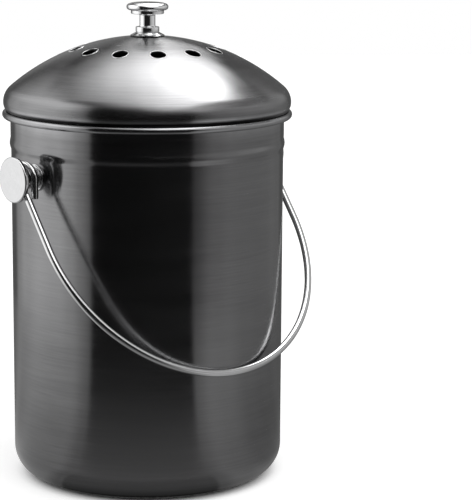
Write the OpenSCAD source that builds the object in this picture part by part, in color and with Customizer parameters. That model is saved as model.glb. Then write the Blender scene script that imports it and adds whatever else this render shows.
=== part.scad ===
// Counter-top compost caddy: a drawn steel bin with a rolled rim, a wire bail
// on two side studs, and a vented dome lid that lifts off and carries a filter.
// The bin stands on z = 0 with its axis on Z. The studs lie along X and the
// bail hangs down in front, on the -Y side.

/* [Bin] */
// Height of the bin to the top of its rolled rim
bin_h = 230.4; // [190:0.1:320]
// Outside diameter of the lower wall
body_d = 169.4; // [150:0.1:210]
// How much wider the band above the bead is, in diameter
band_extra = 0.6; // [0:0.1:3]
// Thickness of the bin's sheet steel
wall_t = 0.8; // [0.5:0.05:1.2]
// Outer radius of the corner between wall and base
corner_r = 17.7; // [6:0.1:30]
// Width of the flat ring that the bin stands on
foot_w = 5.5; // [3:0.1:15]
// Depth of the recess pressed up into the base inside that ring
recess_h = 1.5; // [0.5:0.1:3]
// Radius of the rolled rim's rounded inner and outer sides
rim_tube_r = 2.2; // [2:0.1:4]
// Width of the flat part between those sides
rim_flat = 1.4; // [0:0.1:3]
// Distance from the top of the rim down to the middle of the bead
bead_drop = 20.4; // [15:0.1:21]
// Height of the bead
bead_h = 8.8; // [4:0.1:9]
// How far the bead stands out from the wall
bead_out = 0.7; // [0:0.05:1.5]

/* [Side studs] */
// Distance from the top of the rim down to the stud axis
stud_drop = 34.9; // [34:0.1:60]
// Diameter of the stud's flat head
head_d = 27.6; // [24:0.1:34]
// Thickness of the stud's flat head
head_t = 2.6; // [1.5:0.1:4]
// Diameter of the stud's shank, which the bail's eye turns on
shank_d = 12.5; // [9:0.1:14]
// Length of the shank between the wall flange and the head
shank_l = 12.3; // [11:0.1:20]
// Diameter of the flange against the wall
flange_d = 16.4; // [14.8:0.1:19]
// Thickness of the flange on the stud axis
flange_t = 2.9; // [2:0.1:5]
// Diameter of the raised step on the flange
flange_step_d = 13.8; // [12.6:0.1:14.4]
// Diameter of the screws' threaded ends
screw_d = 4; // [3:0.1:4.5]

/* [Bail] */
// Diameter of the bail's round wire
wire_d = 4.4; // [3:0.1:5]
// Gap between the bail's legs and the stud heads
head_gap = 0.7; // [0.4:0.05:1.5]
// Straight length of each leg, from the stud axis to the bow
leg_l = 48; // [36:0.5:60]
// Gap between the eye of the bail and the shank
eye_gap = 0.35; // [0.3:0.05:0.6]
// Length of the wire's straight tail below the stud axis
tail_l = 11; // [6:0.5:14]
// Gap between the hanging bow and the wall
rest_gap = 0.4; // [0.3:0.05:2]

/* [Lid] */
// How far the lid's widest line stays inside the rim's outside
lid_inset = 0.7; // [0:0.1:1.5]
// Height of the lid's widest line above the rim
lid_rise = 5.3; // [3.5:0.1:6.5]
// Height of the crown above the widest line
dome_h = 40.5; // [32:0.5:56]
// Radius of the shoulder between dome and widest line
shoulder_r = 12; // [6:0.5:20]
// Radius of the tuck under the widest line
tuck_r = 9; // [8:0.5:12]
// Thickness of the lid's sheet steel
lid_t = 0.8; // [0.5:0.05:1.2]
// Number of vent holes
vent_n = 12; // [4:1:16]
// Diameter of a vent hole
vent_d = 9.8; // [5:0.1:12]
// Radius of the ring of vent holes
vent_ring_r = 44.2; // [35:0.1:55]
// Gap between the lid and the top of the rim
seat_gap = 0.3; // [0.2:0.05:1]

/* [Plug and filter] */
// Gap all round between the plug and the mouth of the bin
plug_gap = 0.8; // [0.5:0.1:1.5]
// Depth of the plug below the rim
plug_l = 18; // [14:0.5:22]
// Radius of the plug's lower edge
plug_corner_r = 2; // [1:0.25:4]
// Bore of the collar that takes the filter ring
collar_d = 108; // [96:0.5:116]
// Height of that collar
collar_h = 14; // [12:0.5:17]
// Width of the stop at the top of the collar
stop_w = 4; // [2:0.5:8]
// Width of the ring's inner lip, which carries the felt
carry_w = 2.3; // [1.2:0.1:8]
// Width of the ring's lip outside the collar bore
lip_w = 1.4; // [0.8:0.1:3]
// How far the lip stands out below the plug
lip_h = 0.9; // [0.6:0.1:2]
// Gap between the filter ring and its collar
ring_gap = 0.3; // [0.3:0.05:0.6]
// Thickness of the felt
felt_t = 4; // [2:0.5:5]
// Thickness of the carbon pad
carbon_t = 6; // [3:0.5:6]

/* [Knob] */
// Diameter of the knob's cap
cap_d = 25.9; // [23.2:0.1:34]
// Thickness of the cap
cap_t = 5.6; // [4.6:0.1:8]
// Diameter of the step under the cap
cap_step_d = 20.4; // [14:0.1:20.5]
// Height of that step
cap_step_h = 1.6; // [1:0.1:3]
// Diameter of the knob's stem
stem_d = 9.8; // [7.5:0.1:12]
// Height of the stem
stem_h = 8; // [6:0.1:14]
// Diameter of the collar at the foot of the stem
foot_d = 14.6; // [12.5:0.1:18]
// Height of that collar
foot_h = 3.1; // [2:0.1:6]
// Diameter of the cone under the knob
cone_d = 21; // [18.5:0.1:28]
// Height of the cone above the crown of the lid
cone_h = 2.4; // [1.5:0.1:4]

/* [Hidden] */
$fn = 96;
steel = [0.16, 0.16, 0.17];
chrome = [0.82, 0.83, 0.84];
body_r = body_d / 2;
band_r = body_r + band_extra / 2;
// bin heights
rim_z = bin_h - rim_tube_r;
bead_z = bin_h - bead_drop;
stud_z = bin_h - stud_drop;
// the rolled rim stands outside the wall, and its inner side is the mouth
mouth_r = band_r - wall_t;
rim_c = mouth_r + rim_tube_r + rim_flat;
rim_out_r = rim_c + rim_tube_r;
recess_r = body_r - corner_r - foot_w - recess_h;
// places along the stud axis, from the bin's own axis
flange_s = body_r + flange_t;
head_s = flange_s + shank_l;
seal_t = 1.6;
seal_d = 12;
washer_t = 1;
washer_d = 11;
screw_head_t = 2.2;
screw_head_d = 8;
seal_s = body_r - wall_t - seal_t;
washer_s = seal_s - washer_t;
screw_l = 14;
thread_gap = 0.05;
hole_gap = 0.3;
// bail: the leg runs beside the head, the tail one wire nearer the wall
wire_r = wire_d / 2;
turn_gap = 0.2;
bow_r = head_s - head_gap - wire_r;
tail_s = bow_r - wire_d - turn_gap;
eye_r = shank_d / 2 + eye_gap + wire_r;
bend_r = 5;
hang = asin((body_r + wire_r + rest_gap) / (leg_l + bow_r));
wire_sides = 16;
// lid heights
seat_z = bin_h + seat_gap;
lid_r = rim_out_r - lid_inset;
wide_z = bin_h + lid_rise;
crown_z = wide_z + dome_h;
// the dome meets the shoulder in one smooth line, which sets its radius and centre
dome_r = (pow(dome_h, 2) - pow(shoulder_r, 2) + pow(lid_r - shoulder_r, 2)) / 2 / (dome_h - shoulder_r);
dome_c = crown_z - dome_r;
dome_a = atan2(wide_z - dome_c, lid_r - shoulder_r);
// plug and filter
plug_r = mouth_r - plug_gap;
face_z = seat_z - plug_l;
pan_flange_r = lid_r - tuck_r + sqrt(pow(tuck_r - lid_t, 2) - pow(wide_z - seat_z, 2)) - 0.05;
collar_r = collar_d / 2;
ring_r = collar_r - ring_gap;
ring_t = 0.8;
ring_wall_h = 6;
ring_seat = 0.1;
pad_gap = 0.2;
opening_r = ring_r - carry_w;
pad_r = ring_r - ring_t - pad_gap;
pad_z = face_z - ring_seat;
// knob heights
cone_top_z = crown_z + cone_h;
foot_top_z = cone_top_z + foot_h;
stem_top_z = foot_top_z + stem_h;
cap_z = stem_top_z + cap_step_h;
knob_bore_h = foot_h + stem_h - 1.5;
knob_washer_d = 12;
knob_washer_t = 1;
knob_washer_z = dome_c + sqrt(pow(dome_r - lid_t, 2) - pow(knob_washer_d / 2, 2)) - knob_washer_t;

// Points on an arc about c, from angle a0 to angle a1
function arc(c, r, a0, a1, n = 12) =
    [for (i = [0:n]) c + r * [cos(a0 + (a1 - a0) * i / n), sin(a0 + (a1 - a0) * i / n)]];

// The same points in the opposite order
function back(p) = [for (i = [len(p) - 1:-1:0]) p[i]];

// Side of the bin, o inside its outer surface, from the base's middle up to the rim
function bin_side(o) = concat(
    [[0, recess_h + o], [recess_r - o, recess_h + o], [recess_r + recess_h - o, o]],
    arc([body_r - corner_r, corner_r], corner_r - o, -90, 0, 14),
    [for (t = [0:0.0625:1]) [
        body_r - o + (band_r - body_r) * (1 - cos(180 * t)) / 2 + bead_out * pow(sin(180 * t), 2),
        bead_z + bead_h * (t - 0.5)]],
    [[band_r - o, rim_z]]);

// Section of the rolled rim, with sides of radius r
function rim_section(r) = concat(
    arc([rim_c, rim_z], r, -90, 90, 20),
    arc([rim_c - rim_flat, rim_z], r, 90, 270, 20));

// Drawn bin: one sheet, pressed base, bead, and a rim rolled outwards into a flattened tube
module bin_body() {
    color(steel) difference() {
        union() {
            rotate_extrude($fn = 180) polygon(concat(bin_side(0), back(bin_side(wall_t))));
            rotate_extrude($fn = 180) difference() {
                polygon(rim_section(rim_tube_r));
                polygon(rim_section(rim_tube_r - wall_t));
                translate([rim_c - rim_tube_r / 2, rim_z - rim_tube_r - 0.1])
                    square([rim_tube_r * 0.4, wall_t + 0.3]);
            }
        }
        for (side = [-1, 1]) on_stud(side)
            translate([0, 0, washer_s]) cylinder(d = screw_d + hole_gap, h = flange_s - washer_s);
    }
}

// Puts a piece drawn along +Z onto the stud axis of one side
module on_stud(side) {
    translate([0, 0, stud_z]) rotate([0, side * 90, 0]) children();
}

// Tall cylinder on the bin's axis, used to fit pieces to its curved wall
module wall_core(r) {
    translate([0, 0, stud_z - flange_d]) cylinder(r = r, h = 2 * flange_d, $fn = 180);
}

// Turned flange that spreads the stud's pull over the wall
module pivot_flange(side) {
    step_s = body_r + flange_t * 0.6;
    color(chrome) difference() {
        on_stud(side) rotate_extrude() polygon([
            [screw_d / 2 + hole_gap / 2, body_r - 2], [flange_d / 2, body_r - 2],
            [flange_d / 2, step_s - 0.4], [flange_d / 2 - 0.4, step_s],
            [flange_step_d / 2, step_s], [flange_step_d / 2, flange_s - 0.3],
            [flange_step_d / 2 - 0.3, flange_s], [screw_d / 2 + hole_gap / 2, flange_s]]);
        wall_core(body_r);
    }
}

// Stud: a shank for the bail's eye under a broad flat head with eased edges
module pivot_stud(side) {
    bore_r = screw_d / 2 + thread_gap;
    bore_s = washer_s + screw_l + 0.5;
    ease = 0.45;
    color(chrome) on_stud(side) rotate_extrude() polygon(concat(
        [[bore_r, flange_s], [shank_d / 2, flange_s], [shank_d / 2, head_s],
         [head_d / 2 - ease, head_s], [head_d / 2, head_s + ease]],
        arc([head_d / 2 - 2 * ease, head_s + head_t - 2 * ease], 2 * ease, 0, 90, 4),
        [[0, head_s + head_t], [0, bore_s], [bore_r, bore_s]]));
}

// Soft washer that seals the screw hole inside the bin
module pivot_seal(side) {
    color([0.09, 0.09, 0.09]) intersection() {
        on_stud(side) translate([0, 0, seal_s]) difference() {
            cylinder(d = seal_d, h = seal_t * 2);
            translate([0, 0, -1]) cylinder(d = screw_d + hole_gap, h = seal_t * 2 + 2);
        }
        wall_core(body_r - wall_t);
    }
}

// Flat steel washer under the screw's head
module pivot_washer(side) {
    color(chrome) on_stud(side) translate([0, 0, washer_s]) difference() {
        cylinder(d = washer_d, h = washer_t);
        translate([0, 0, -1]) cylinder(d = screw_d + hole_gap, h = washer_t + 2);
    }
}

// Pan-head screw with a cross recess: its head is at z = 0 and its end at z = l
module pan_screw(l) {
    recess_w = 1.1;
    recess_l = 4.4;
    difference() {
        rotate_extrude() polygon(concat(
            [[0, -screw_head_t]],
            arc([screw_head_d / 2 - 1.4, -screw_head_t + 1.4], 1.4, -90, 0, 6),
            [[screw_head_d / 2, 0], [screw_d / 2, 0], [screw_d / 2, l - 0.6],
             [screw_d / 2 - 0.6, l], [0, l]]));
        for (a = [0, 90]) rotate([0, 0, a])
            translate([-recess_l / 2, -recess_w / 2, -screw_head_t - 1]) cube([recess_l, recess_w, 2.2]);
    }
}

// Screw that holds the stud from inside the bin
module pivot_screw(side) {
    color(chrome) on_stud(side) translate([0, 0, washer_s]) pan_screw(screw_l);
}

// Place on the bail's wire: s along the studs, v down the leg, w behind it
function from_leg(s, v, w) = [s, -v * sin(hang) + w * cos(hang), stud_z - v * cos(hang) - w * sin(hang)];

// Half of the bail's path, from the tail's cut end to the middle of the bow
bend_v = sqrt(pow(eye_r, 2) + 2 * eye_r * bend_r);
eye_a0 = atan2(bend_r, bend_v);
eye_a1 = hang + 270;
function half_bail() = concat(
    [[tail_s, -eye_r, stud_z - tail_l], [tail_s, -eye_r, stud_z - tail_l / 2]],
    [for (i = [0:26]) let (a = eye_a1 + (eye_a0 - eye_a1) * i / 26,
            s = tail_s + (bow_r - tail_s) * (1 - cos(180 * i / 26)) / 2)
        from_leg(s, eye_r * cos(a), eye_r * sin(a))],
    [for (i = [1:4]) let (b = (90 - eye_a0) * (1 - i / 4))
        from_leg(bow_r, bend_v - bend_r * sin(b), bend_r - bend_r * cos(b))],
    [for (i = [0:24]) let (b = 90 * i / 24)
        from_leg(bow_r * cos(b), leg_l + bow_r * sin(b), 0)]);

function mirrored(p) = [for (i = [len(p) - 2:-1:0]) [-p[i][0], p[i][1], p[i][2]]];
function unit(v) = v / norm(v);

// Round wire swept along a path of points, with its seam turned as little as may be
function seam_at(p, i, n) = let (t = unit(p[min(i + 1, len(p) - 1)] - p[max(i - 1, 0)])) unit(n - (n * t) * t);
function seams(p, i, n, out) = i == len(p) ? out
    : let (m = seam_at(p, i, n)) seams(p, i + 1, m, concat(out, [m]));
module sweep_wire(p) {
    n0 = seams(p, 0, [1, 0, 0.3], []);
    rings = [for (i = [0:len(p) - 1]) let (
            t = unit(p[min(i + 1, len(p) - 1)] - p[max(i - 1, 0)]), b = cross(t, n0[i]))
        [for (k = [0:wire_sides - 1])
            p[i] + wire_r * (cos(360 * k / wire_sides) * n0[i] + sin(360 * k / wire_sides) * b)]];
    polyhedron(
        points = [for (ring = rings) for (q = ring) q],
        faces = concat(
            [[for (k = [0:wire_sides - 1]) k]],
            [for (i = [0:len(p) - 2]) for (k = [0:wire_sides - 1])
                let (a = i * wire_sides + k, b = i * wire_sides + (k + 1) % wire_sides)
                [a, a + wire_sides, b + wire_sides, b]],
            [[for (k = [wire_sides - 1:-1:0]) (len(p) - 1) * wire_sides + k]]),
        convexity = 6);
}

// Bail: one bent wire with an open eye round each stud
module bail_handle() {
    color(chrome) sweep_wire(concat(half_bail(), mirrored(half_bail())));
}

// Side of the lid's dome, o inside its outer surface, from the crown's hole to the tuck
function dome_side(o) = concat(
    arc([0, dome_c], dome_r - o, 90 - asin((screw_d + hole_gap) / 2 / (dome_r - o)), dome_a, 30),
    arc([lid_r - shoulder_r, wide_z], shoulder_r - o, dome_a, 0, 12),
    arc([lid_r - tuck_r, wide_z], tuck_r - o, 0, -asin((wide_z - seat_z) / (tuck_r - o)), 8));

// Pressed dome with its ring of vent holes
module lid_dome() {
    color(steel) difference() {
        rotate_extrude($fn = 180) polygon(concat(dome_side(0), back(dome_side(lid_t))));
        for (i = [0:vent_n - 1]) rotate([0, 0, -90 + 360 * i / vent_n])
            translate([vent_ring_r, 0, wide_z]) cylinder(d = vent_d, h = crown_z - wide_z + 5, $fn = 32);
    }
}

// Pan under the dome: a flange at the rim, a plug for the mouth, a face and the filter's collar
module lid_plug_pan() {
    function skirt(o) = arc([plug_r - plug_corner_r, face_z + plug_corner_r], plug_corner_r - o, 0, -90, 6);
    color(steel) rotate_extrude($fn = 180) polygon(concat(
        [[pan_flange_r, seat_z], [plug_r, seat_z]],
        skirt(0),
        [[collar_r, face_z], [collar_r, face_z + collar_h - lid_t],
         [collar_r - stop_w, face_z + collar_h - lid_t], [collar_r - stop_w, face_z + collar_h],
         [collar_r + lid_t, face_z + collar_h], [collar_r + lid_t, face_z + lid_t]],
        back(skirt(lid_t)),
        [[plug_r - lid_t, seat_z + lid_t], [pan_flange_r, seat_z + lid_t]]));
}

// Polished ring that pushes into the collar and carries the filter on its inner lip
module filter_retaining_ring() {
    top_z = face_z - ring_seat;
    color(chrome) rotate_extrude($fn = 180) polygon([
        [opening_r, top_z - ring_t + 0.25], [opening_r + 0.25, top_z - ring_t],
        [ring_r + lip_w, face_z - lip_h], [ring_r + lip_w + 0.4, face_z - lip_h + 0.3],
        [ring_r + lip_w + 0.4, top_z], [ring_r, top_z],
        [ring_r, face_z + ring_wall_h], [ring_r - ring_t, face_z + ring_wall_h],
        [ring_r - ring_t, top_z], [opening_r, top_z]]);
}

// Black felt that faces the food
module filter_felt() {
    color([0.05, 0.05, 0.05]) translate([0, 0, pad_z]) cylinder(r = pad_r, h = felt_t, $fn = 120);
}

// Activated-carbon pad that lies on the felt
module carbon_filter() {
    color([0.1, 0.1, 0.1]) translate([0, 0, pad_z + felt_t]) cylinder(r = pad_r, h = carbon_t, $fn = 120);
}

// Low cone that spreads the knob's foot on the crown
module knob_base_cone() {
    hole_a = asin((screw_d + hole_gap) / 2 / dome_r);
    edge_a = asin(cone_d / 2 / dome_r);
    lift = 0.02;
    edge_z = dome_c + dome_r * cos(edge_a);
    color(chrome) rotate_extrude() polygon(concat(
        arc([0, dome_c], dome_r + lift, 90 - hole_a, 90 - edge_a, 8),
        [[cone_d / 2 + 0.1, edge_z + 0.9], [foot_d / 2 - 0.5, cone_top_z],
         [(screw_d + hole_gap) / 2, cone_top_z]]));
}

// Turned stem with a collar at its foot, tapped from below
module knob_stem() {
    ease = 0.4;
    bore_r = screw_d / 2 + thread_gap;
    color(chrome) rotate_extrude() polygon([
        [bore_r, cone_top_z], [foot_d / 2 - ease, cone_top_z], [foot_d / 2, cone_top_z + ease],
        [foot_d / 2, foot_top_z - ease], [foot_d / 2 - ease, foot_top_z],
        [stem_d / 2 + 0.6, foot_top_z], [stem_d / 2, foot_top_z + 0.9],
        [stem_d / 2, stem_top_z - 1.2], [stem_d / 2 + 0.9, stem_top_z],
        [0, stem_top_z], [0, cone_top_z + knob_bore_h], [bore_r, cone_top_z + knob_bore_h]]);
}

// Turned cap: a step and a lens with a rounded edge
module knob_cap() {
    edge_r = 2;
    low_h = (cap_t - 2 * edge_r) * 0.4;
    edge_z = cap_z + low_h + edge_r;
    function bulge(h, i) = h * cos(90 * i / 10);
    color(chrome) rotate_extrude() polygon(concat(
        [[0, stem_top_z], [cap_step_d / 2 - 0.3, stem_top_z], [cap_step_d / 2, stem_top_z + 0.3],
         [cap_step_d / 2, cap_z + 0.4]],
        arc([cap_d / 2 - edge_r, edge_z], edge_r, -70, 70, 8),
        [for (i = [9:-1:0]) [(cap_d / 2 - edge_r) * sin(90 * i / 10),
            edge_z + edge_r + bulge(cap_t - low_h - 2 * edge_r, i)]]));
}

// Flat washer against the underside of the dome
module knob_washer() {
    color(chrome) translate([0, 0, knob_washer_z]) difference() {
        cylinder(d = knob_washer_d, h = knob_washer_t);
        translate([0, 0, -1]) cylinder(d = screw_d + hole_gap, h = knob_washer_t + 2);
    }
}

// Screw that draws the knob down onto the dome
module knob_screw() {
    color(chrome) translate([0, 0, knob_washer_z])
        pan_screw(cone_top_z + knob_bore_h - 1 - knob_washer_z);
}

bin_body();
pivot_flange(-1);  // pivot_flange_left
pivot_flange(1);  // pivot_flange_right
pivot_stud(-1);  // pivot_stud_left
pivot_stud(1);  // pivot_stud_right
pivot_seal(-1);  // pivot_seal_left
pivot_seal(1);  // pivot_seal_right
pivot_washer(-1);  // pivot_washer_left
pivot_washer(1);  // pivot_washer_right
pivot_screw(-1);  // pivot_screw_left
pivot_screw(1);  // pivot_screw_right
bail_handle();
lid_dome();
lid_plug_pan();
knob_base_cone();
knob_stem();
knob_cap();
knob_washer();
knob_screw();
filter_retaining_ring();
filter_felt();
carbon_filter();
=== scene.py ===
import math

import bmesh
import bpy
from mathutils import Matrix, Vector, noise


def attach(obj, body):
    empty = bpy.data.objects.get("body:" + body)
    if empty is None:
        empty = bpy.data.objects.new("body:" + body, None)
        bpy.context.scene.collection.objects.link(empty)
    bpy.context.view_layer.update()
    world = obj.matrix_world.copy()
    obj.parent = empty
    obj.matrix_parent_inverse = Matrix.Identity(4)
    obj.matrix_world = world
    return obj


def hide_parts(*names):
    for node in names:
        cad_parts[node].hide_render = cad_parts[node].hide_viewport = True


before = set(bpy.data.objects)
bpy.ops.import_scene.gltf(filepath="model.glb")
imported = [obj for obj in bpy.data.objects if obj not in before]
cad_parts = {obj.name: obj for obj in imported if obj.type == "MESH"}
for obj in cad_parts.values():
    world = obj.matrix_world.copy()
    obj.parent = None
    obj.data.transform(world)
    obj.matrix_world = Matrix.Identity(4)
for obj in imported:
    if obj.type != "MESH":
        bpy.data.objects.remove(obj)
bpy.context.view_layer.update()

# Bin. A pail drawn from one sheet of stainless steel, with a pressed base, a
# bead under the rim and the edge rolled outwards into a tube. Its surface is
# brushed round and round and tinted black.
MM = 0.001
EDGE = 24
RIM_TOP = 230.4
WALL_R = 84.7
BAND_R = 85.0
SHEET = 0.8
CORNER_R = 17.7
FOOT_W = 5.5
RECESS_H = 1.5
ROLL_R = 2.2
ROLL_FLAT = 1.4
BEAD_DROP = 20.4
STUD_DROP = 34.9
BEAD_MID = RIM_TOP - BEAD_DROP
BEAD_H = 8.8
BEAD_OUT = 0.7
MOUTH_R = BAND_R - SHEET
ROLL_IN_R = MOUTH_R + ROLL_R
ROLL_MID_R = ROLL_IN_R + ROLL_FLAT
ROLL_MID_Z = RIM_TOP - ROLL_R
RIM_R = ROLL_MID_R + ROLL_R
STUD_Z = RIM_TOP - STUD_DROP


def arc(middle, radius, start, end, steps):
    """Points of a profile on an arc. Angles are in degrees and 0 points outwards."""
    turns = [math.radians(start + (end - start) * i / steps) for i in range(steps + 1)]
    return [(middle[0] + radius * math.cos(t), middle[1] + radius * math.sin(t)) for t in turns]


def steadied(profile, run=2.5, inset=0.3):
    """Adds a point near each end of a long straight run, which keeps its shading straight."""
    out = []
    for (r, h), (r2, h2) in zip(profile, profile[1:] + profile[:1]):
        out.append((r, h))
        length = math.hypot(r2 - r, h2 - h)
        if length > run:
            for t in (inset / length, 1 - inset / length):
                out.append((r + (r2 - r) * t, h + (h2 - h) * t))
    return out


def upright(r, h, turn):
    """Place of a profile point on a piece that is turned about the bin's own axis."""
    return Vector((r * math.cos(turn), r * math.sin(turn), h)) * MM


def as_piece(bm, name, edge=EDGE):
    """Makes a shown object of a bmesh, smooth except at edges sharper than so many degrees."""
    bmesh.ops.remove_doubles(bm, verts=bm.verts, dist=1e-7)
    bmesh.ops.recalc_face_normals(bm, faces=bm.faces)
    mesh = bpy.data.meshes.new(name)
    bm.to_mesh(mesh)
    bm.free()
    mesh.shade_smooth()
    mesh.set_sharp_from_angle(angle=math.radians(edge))
    piece = bpy.data.objects.new(name, mesh)
    bpy.context.scene.collection.objects.link(piece)
    return piece


def ring(bm, place, r, h, steps):
    """Points round the axis at one radius and height, or the one point on the axis."""
    count = steps if r > 1e-6 else 1
    return [bm.verts.new(place(r, h, math.tau * k / steps)) for k in range(count)]


def skin(bm, low, high):
    """Faces between two rings, of which either may be the one point on the axis."""
    steps = max(len(low), len(high))
    for k in range(steps):
        n = (k + 1) % steps
        if len(low) > 1 and len(high) > 1:
            bm.faces.new((low[k], low[n], high[n], high[k]))
        elif len(high) > 1:
            bm.faces.new((low[0], high[n], high[k]))
        elif len(low) > 1:
            bm.faces.new((low[k], low[n], high[0]))


def turned(name, profile, place=upright, steps=240):
    """Spins a closed profile of (radius, height) in millimetres into a solid of revolution."""
    bm = bmesh.new()
    rings = [ring(bm, place, r, h, steps) for r, h in steadied(profile)]
    for low, high in zip(rings, rings[1:] + rings[:1]):
        skin(bm, low, high)
    return as_piece(bm, name)


def bin_side(inset, bead_steps=32):
    """Profile of one face of the sheet, from the middle of the base up to below the rim."""
    recess_r = WALL_R - CORNER_R - FOOT_W - RECESS_H
    side = [(0, RECESS_H + inset), (recess_r - inset, RECESS_H + inset),
            (recess_r + RECESS_H - inset, inset)]
    side += arc((WALL_R - CORNER_R, CORNER_R), CORNER_R - inset, -90, 0, 26)
    for i in range(bead_steps + 1):
        t = i / bead_steps
        side.append((WALL_R - inset + (BAND_R - WALL_R) * (1 - math.cos(math.pi * t)) / 2
                     + BEAD_OUT * math.sin(math.pi * t) ** 2, BEAD_MID + BEAD_H * (t - 0.5)))
    return side


roll_start = 180 + math.degrees(math.acos((ROLL_IN_R - BAND_R) / ROLL_R))
bin_profile = bin_side(0) + arc((ROLL_IN_R, ROLL_MID_Z), ROLL_R, roll_start, 270, 6)
bin_profile += arc((ROLL_MID_R, ROLL_MID_Z), ROLL_R, 270, 450, 30)
bin_profile += arc((ROLL_IN_R, ROLL_MID_Z), ROLL_R, 90, 180, 12) + list(reversed(bin_side(SHEET)))
bin_shell = turned("bin_shell", bin_profile)


def tree_links(tree):
    """Short ways to add a node to a tree and to join two sockets."""
    def add(kind, **settings):
        node = tree.nodes.new(kind)
        for key, value in settings.items():
            setattr(node, key, value)
        return node

    def sums(operation, *values):
        node = add("ShaderNodeMath", operation=operation)
        for socket, value in zip(node.inputs, values):
            if isinstance(value, (int, float)):
                socket.default_value = value
            else:
                tree.links.new(value, socket)
        return node.outputs[0]

    return add, sums, tree.links.new


def cleared_material(name):
    """A material without nodes, and its tree."""
    material = bpy.data.materials.new(name)
    material.use_nodes = True
    material.node_tree.nodes.clear()
    return material, material.node_tree


def textured(tree, kind, vector, **values):
    """Adds a texture that reads a place, with its own values."""
    node = tree.nodes.new(kind)
    for label, value in values.items():
        node.inputs[label].default_value = value
    tree.links.new(vector, node.inputs["Vector"])
    return node


def remapped(tree, value, low, high, to_low=0.0, to_high=1.0):
    """Stretches one range of a value onto another and stops at its ends."""
    node = tree.nodes.new("ShaderNodeMapRange")
    for label, number in (("From Min", low), ("From Max", high), ("To Min", to_low),
                          ("To Max", to_high)):
        node.inputs[label].default_value = number
    tree.links.new(value, node.inputs["Value"])
    return node


def two_tones(tree, factor, first, second):
    """Mixes two colours, each given as three numbers or as a socket."""
    node = tree_links(tree)[0]("ShaderNodeMix", data_type="RGBA")
    for label, colour in (("A", first), ("B", second)):
        if isinstance(colour, tuple):
            node.inputs[label].default_value = (*colour, 1)
        else:
            tree.links.new(colour, node.inputs[label])
    tree.links.new(factor, node.inputs["Factor"])
    return node.outputs["Result"]


def raised(tree, height, shader, strength, depth):
    """Gives a shader's surface a relief of so many millimetres."""
    relief = tree.nodes.new("ShaderNodeBump")
    relief.inputs["Strength"].default_value = strength
    relief.inputs["Distance"].default_value = depth * MM
    tree.links.new(height, relief.inputs["Height"])
    tree.links.new(relief.outputs[0], shader.inputs["Normal"])


def effect_group(name, inputs, outputs):
    """Starts a shader node group with named number, colour or vector sockets."""
    group = bpy.data.node_groups.new(name, "ShaderNodeTree")
    for label, kind, value in inputs:
        socket = group.interface.new_socket(label, in_out="INPUT", socket_type=kind)
        if value is not None:
            socket.default_value = value
    for label, kind in outputs:
        group.interface.new_socket(label, in_out="OUTPUT", socket_type=kind)
    return group


# Marks that brushing and turning leave round an axis: fine lines that fade in
# and out along the way round, and a broad unevenness of the polish.
brush_marks = effect_group("Brush marks", [
    ("Vector", "NodeSocketVector", None), ("Slope", "NodeSocketFloat", 1.0),
    ("Lines per metre", "NodeSocketFloat", 1000.0), ("Lines round", "NodeSocketFloat", 1.8)],
    [("Lines", "NodeSocketFloat"), ("Haze", "NodeSocketFloat")])
add, sums, join = tree_links(brush_marks)
given = add("NodeGroupInput")
result = add("NodeGroupOutput")
place = add("ShaderNodeSeparateXYZ")
join(given.outputs["Vector"], place.inputs[0])
flat = add("ShaderNodeCombineXYZ")
join(place.outputs["X"], flat.inputs["X"])
join(place.outputs["Y"], flat.inputs["Y"])
reach = add("ShaderNodeVectorMath", operation="LENGTH")
join(flat.outputs[0], reach.inputs[0])
way = add("ShaderNodeVectorMath", operation="NORMALIZE")
join(flat.outputs[0], way.inputs[0])
along = sums("MULTIPLY_ADD", reach.outputs["Value"], given.outputs["Slope"], place.outputs["Z"])
for label, fine, round_, detail in (("Lines", 1.0, 1.0, 5.0), ("Haze", 0.08, 0.7, 3.0)):
    rise = sums("MULTIPLY", sums("MULTIPLY", along, given.outputs["Lines per metre"]), fine)
    spread = add("ShaderNodeVectorMath", operation="SCALE")
    join(way.outputs[0], spread.inputs[0])
    join(sums("MULTIPLY", given.outputs["Lines round"], round_), spread.inputs["Scale"])
    lift = add("ShaderNodeCombineXYZ")
    join(rise, lift.inputs["Z"])
    point = add("ShaderNodeVectorMath", operation="ADD")
    join(spread.outputs[0], point.inputs[0])
    join(lift.outputs[0], point.inputs[1])
    grain = textured(brush_marks, "ShaderNodeTexNoise", point.outputs[0], Scale=1.0,
                     Detail=detail, Roughness=0.62)
    join(grain.outputs["Fac"], result.inputs[label])

# A line along a turned edge, which lies at one radius and one height: strongest in
# the middle and broken up by small knocks. It lays bare steel as wear, or a dark colour as painted
# shade.
wear_and_shade_group = effect_group("Edge wear and painted shade", [
    ("Vector", "NodeSocketVector", None), ("Radius", "NodeSocketFloat", 0.09),
    ("Height", "NodeSocketFloat", 0.23), ("Width", "NodeSocketFloat", 0.002)],
    [("Wear and shade", "NodeSocketFloat")])
add, sums, join = tree_links(wear_and_shade_group)
given = add("NodeGroupInput")
result = add("NodeGroupOutput")
place = add("ShaderNodeSeparateXYZ")
join(given.outputs["Vector"], place.inputs[0])
square = sums("ADD", sums("MULTIPLY", place.outputs["X"], place.outputs["X"]),
              sums("MULTIPLY", place.outputs["Y"], place.outputs["Y"]))
out_by = sums("SUBTRACT", sums("SQRT", square), given.outputs["Radius"])
up_by = sums("SUBTRACT", place.outputs["Z"], given.outputs["Height"])
away = sums("SQRT", sums("ADD", sums("MULTIPLY", out_by, out_by), sums("MULTIPLY", up_by, up_by)))
near = add("ShaderNodeMath", operation="SUBTRACT", use_clamp=True)
near.inputs[0].default_value = 1.0
join(sums("DIVIDE", away, given.outputs["Width"]), near.inputs[1])
knocks = textured(wear_and_shade_group, "ShaderNodeTexNoise", given.outputs["Vector"], Scale=160.0,
                  Detail=5.0)
broken = remapped(wear_and_shade_group, knocks.outputs["Fac"], low=0.42, high=0.66, to_low=0.8)
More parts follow.
